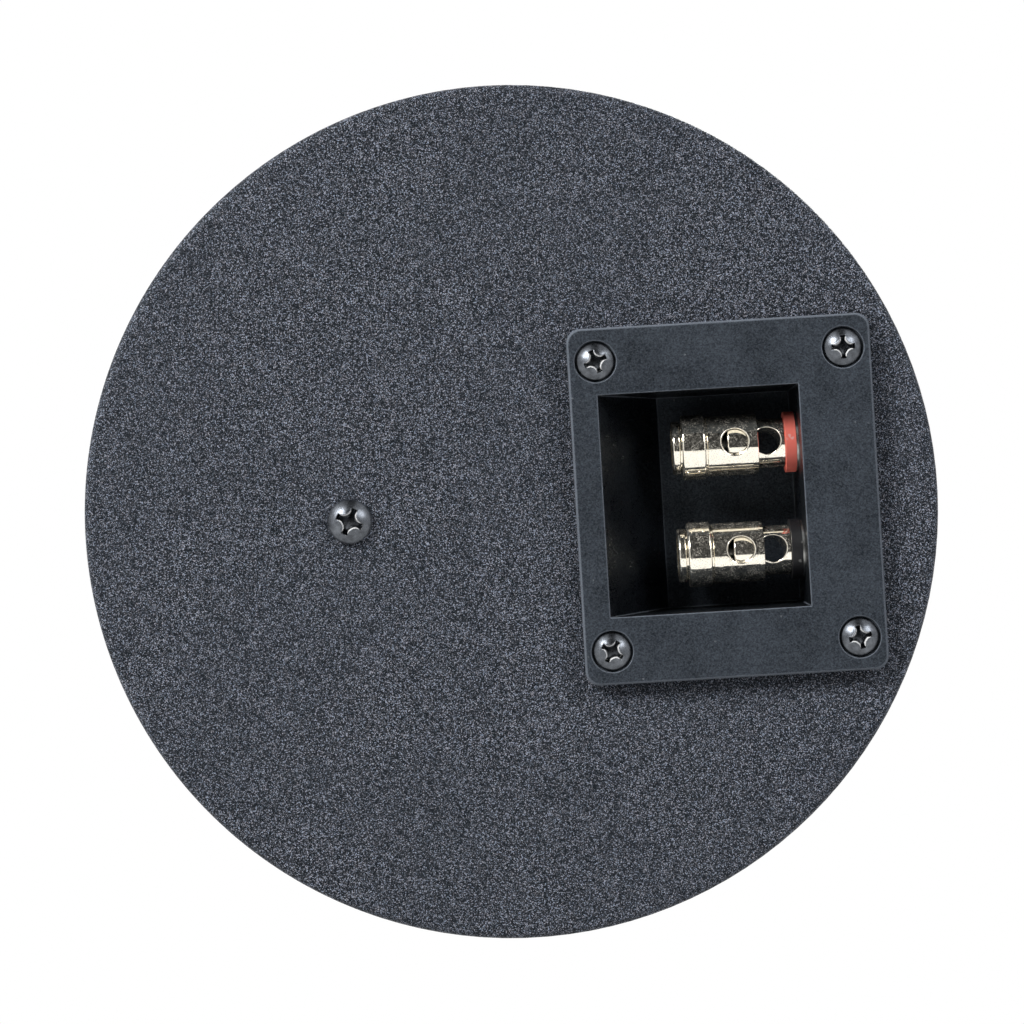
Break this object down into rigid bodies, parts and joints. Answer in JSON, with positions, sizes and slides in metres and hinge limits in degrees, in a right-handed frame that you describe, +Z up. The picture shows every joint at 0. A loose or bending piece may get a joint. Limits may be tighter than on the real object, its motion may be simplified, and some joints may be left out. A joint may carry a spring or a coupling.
{
  "type": "in-wall speaker",
  "caption": "Round in-wall speaker with a sealed steel back can, a recessed terminal cup with spring-loaded binding posts, and a flanged front with a perforated grille.",
  "frame": {"origin": "centre of the wall screw circle, in the plane of the flange's back, which meets the wall", "axes": "+Y out of the wall into the room, -Y to the rear face with the terminals, +Z up, +X to the right as the rear face is seen"},
  "size_m": [0.182, 0.1089, 0.182],
  "materials": {
    "can_paint": "sand-textured dark grey powder coat",
    "cup_plastic": "satin black moulding",
    "foam": "closed-cell foam",
    "screw_black": "black zinc",
    "gold_plate": "polished pale gold plate",
    "red_plastic": "satin red moulding",
    "black_plastic": "satin black moulding",
    "bright_steel": "bright zinc",
    "spring_steel": "oiled spring wire",
    "board_laminate": "green solder resist",
    "nylon": "natural nylon",
    "copper": "enamelled copper",
    "capacitor_film": "shrink sleeve",
    "capacitor_tan": "taped film",
    "ceramic": "cement body",
    "red_wire": "PVC insulation",
    "black_wire": "PVC insulation",
    "grey_wire": "PVC insulation",
    "wadding": "polyester wadding",
    "ferrite": "sintered ferrite",
    "basket_paint": "black paint",
    "cone_paper": "coated paper",
    "spider_cloth": "impregnated cloth",
    "surround_rubber": "butyl rubber",
    "silk": "doped silk",
    "flange_plastic": "paintable white moulding",
    "grille_paint": "white powder coat"
  },
  "bodies": {
    "speaker": {"back_can": "can_paint", "terminal_cup": "cup_plastic", "cup_gasket": "foam", "cup_screws": "screw_black", "board_screw": "screw_black", "red_post": "gold_plate", "black_post": "gold_plate", "red_spring": "spring_steel", "black_spring": "spring_steel", "red_ring": "red_plastic", "black_ring": "black_plastic", "red_washer": "bright_steel", "black_washer": "bright_steel", "red_stem_screw": "bright_steel", "black_stem_screw": "bright_steel", "red_tag": "bright_steel", "black_tag": "bright_steel", "red_nut": "bright_steel", "black_nut": "bright_steel", "crossover_board": "board_laminate", "board_spacer": "nylon", "board_nut": "bright_steel", "board_pad": "foam", "inductor_bobbin": "black_plastic", "inductor_coil": "copper", "woofer_capacitor": "capacitor_film", "tweeter_capacitor": "capacitor_tan", "resistor": "ceramic", "red_lead": "red_wire", "black_lead": "black_wire", "woofer_lead": "grey_wire", "tweeter_lead": "grey_wire", "damping_pad": "wadding", "driver_basket": "basket_paint", "top_plate": "bright_steel", "magnet": "ferrite", "pole_yoke": "bright_steel", "spider": "spider_cloth", "surround": "surround_rubber", "woofer_terminal": "black_plastic", "driver_gasket": "foam", "driver_screws": "screw_black", "tweeter_bridge": "basket_paint", "tweeter_body": "basket_paint", "tweeter_dome": "silk", "bridge_screws": "screw_black", "front_baffle": "flange_plastic", "can_gasket": "foam", "can_screws": "screw_black", "grille": "grille_paint", "grille_magnets": "bright_steel"},
    "red_sleeve": {"red_sleeve": "gold_plate"},
    "black_sleeve": {"black_sleeve": "gold_plate"},
    "cone_assembly": {"voice_coil": "copper", "cone": "cone_paper", "dust_cap": "cone_paper"}
  },
  "joints": [
    {"name": "red_sleeve_press", "type": "slide", "parent": "speaker", "child": "red_sleeve", "axis": [0.9982, 0, 0.0593], "range_m": [0, 0.005], "stiffness_N_per_m": 600, "springref_m": -0.002, "deforming": ["red_spring"]},
    {"name": "black_sleeve_press", "type": "slide", "parent": "speaker", "child": "black_sleeve", "axis": [0.9982, 0, 0.0593], "range_m": [0, 0.005], "stiffness_N_per_m": 600, "springref_m": -0.002, "deforming": ["black_spring"]},
    {"name": "cone_slide", "type": "slide", "parent": "speaker", "child": "cone_assembly", "axis": [0, 1, 0], "range_m": [-0.003, 0.003], "stiffness_N_per_m": 1400, "deforming": ["surround", "spider"]}
  ]
}
